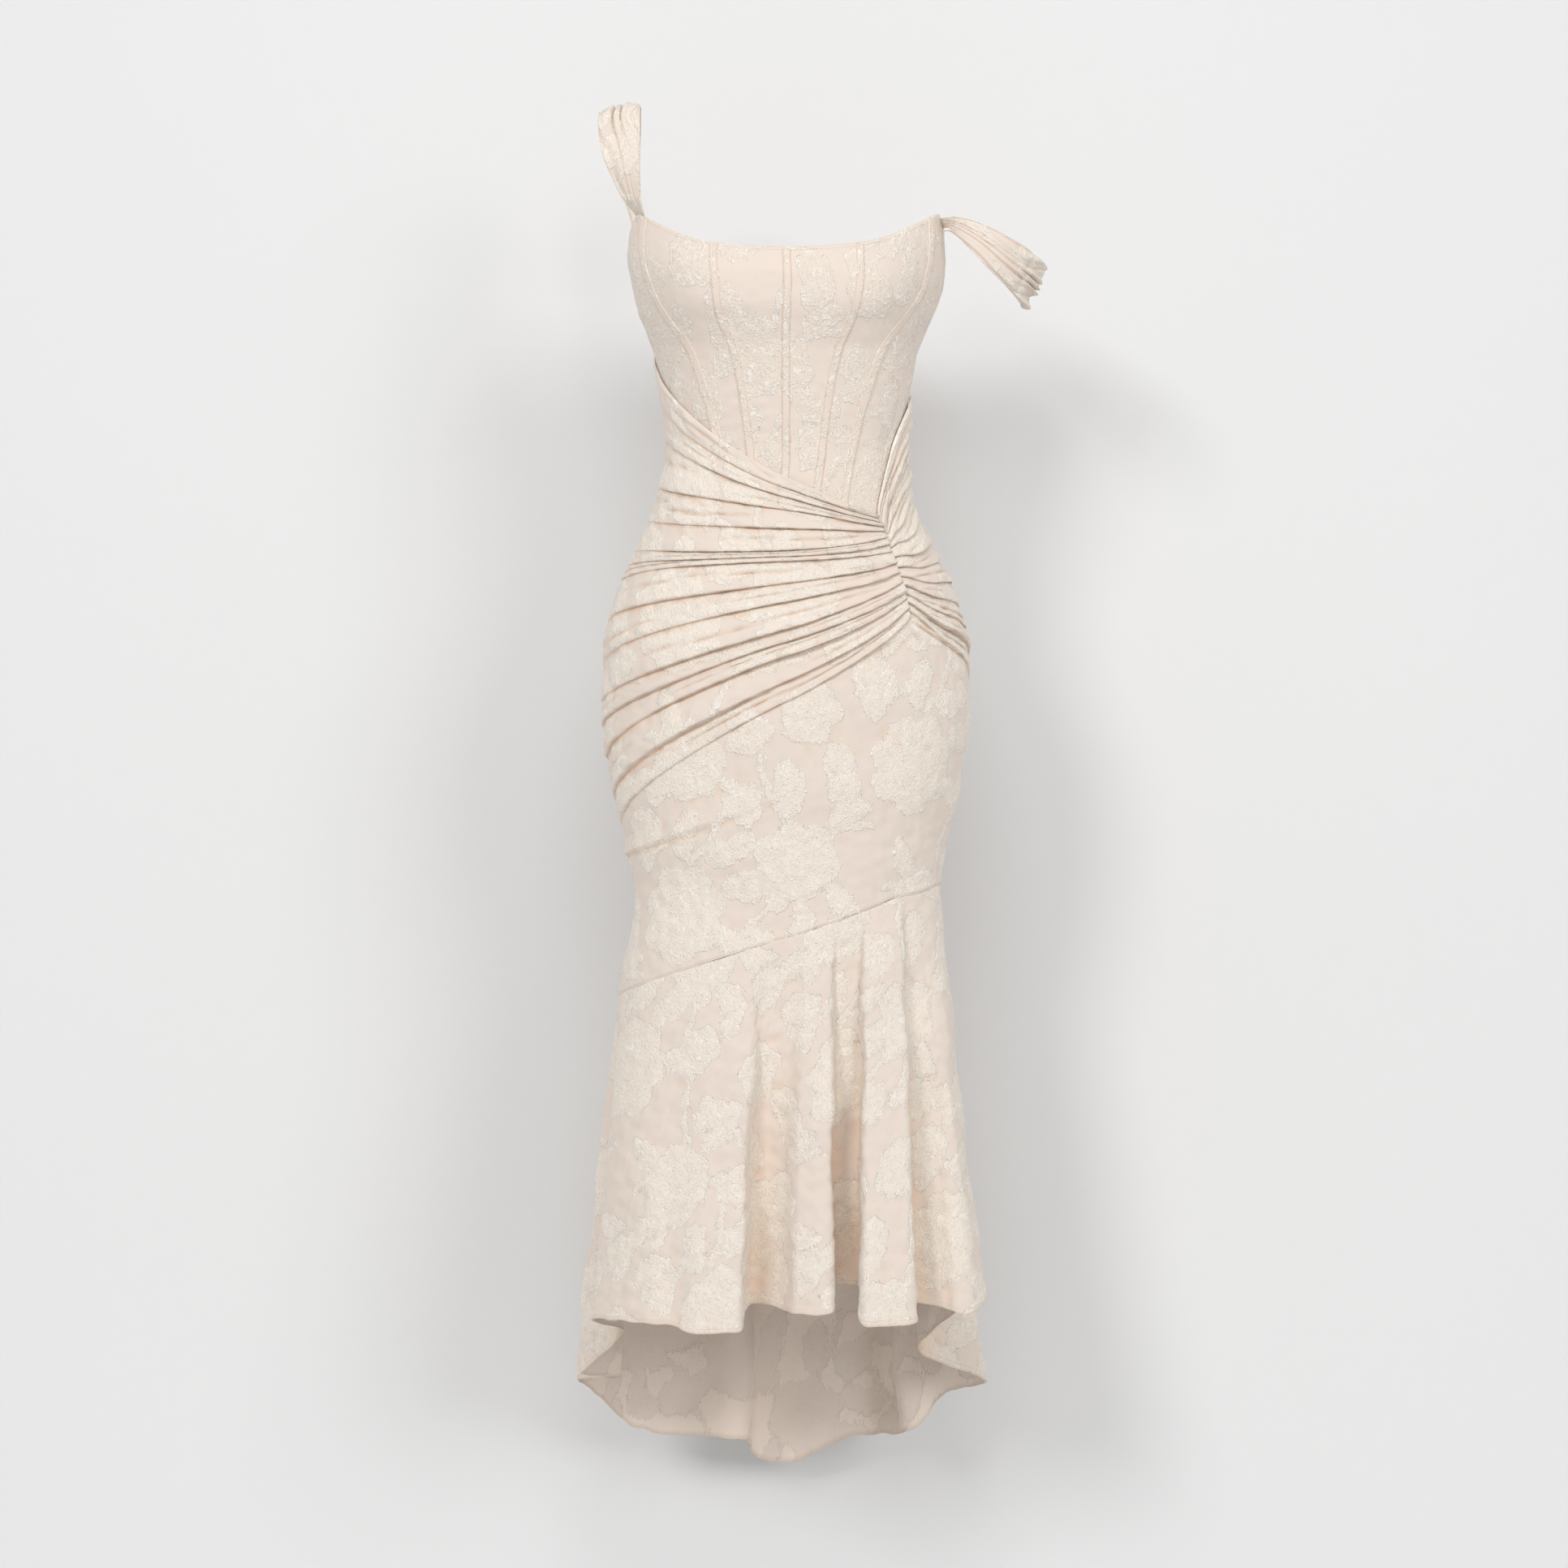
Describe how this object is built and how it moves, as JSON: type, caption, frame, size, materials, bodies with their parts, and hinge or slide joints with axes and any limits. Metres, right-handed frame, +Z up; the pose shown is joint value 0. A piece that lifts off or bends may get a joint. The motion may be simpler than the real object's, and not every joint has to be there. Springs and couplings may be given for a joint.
{
  "type": "corset maxi dress",
  "caption": "Strapped corset maxi dress in cream floral jacquard, with a boned bodice, a skirt gathered on one hip and a flared flounce that is longer at the back.",
  "frame": {"origin": "middle of the waist inside the dress, where the wearer's waist holds it up", "axes": "+X to the wearer's left, -Y the front, +Z up"},
  "size_m": [0.4736, 0.376, 1.3959],
  "materials": {
    "jacquard": "raised floral weave, matt",
    "casing": "plain weave, matt"
  },
  "bodies": {
    "root": {"centre_front_right": "jacquard", "centre_front_left": "jacquard", "side_front_right": "jacquard", "side_front_left": "jacquard", "side_right": "jacquard", "side_left": "jacquard", "side_back_right": "jacquard", "side_back_left": "jacquard", "centre_back_right": "jacquard", "centre_back_left": "jacquard", "casing_centre": "casing", "casing_inner_right": "casing", "casing_inner_left": "casing", "casing_outer_right": "casing", "casing_outer_left": "casing", "casing_back_right": "casing", "casing_back_left": "casing", "skirt_front": "jacquard", "skirt_back_right": "jacquard", "skirt_back_left": "jacquard", "flounce_front": "jacquard", "flounce_back": "jacquard", "strap_right": "jacquard", "strap_left": "jacquard"}
  },
  "joints": []
}
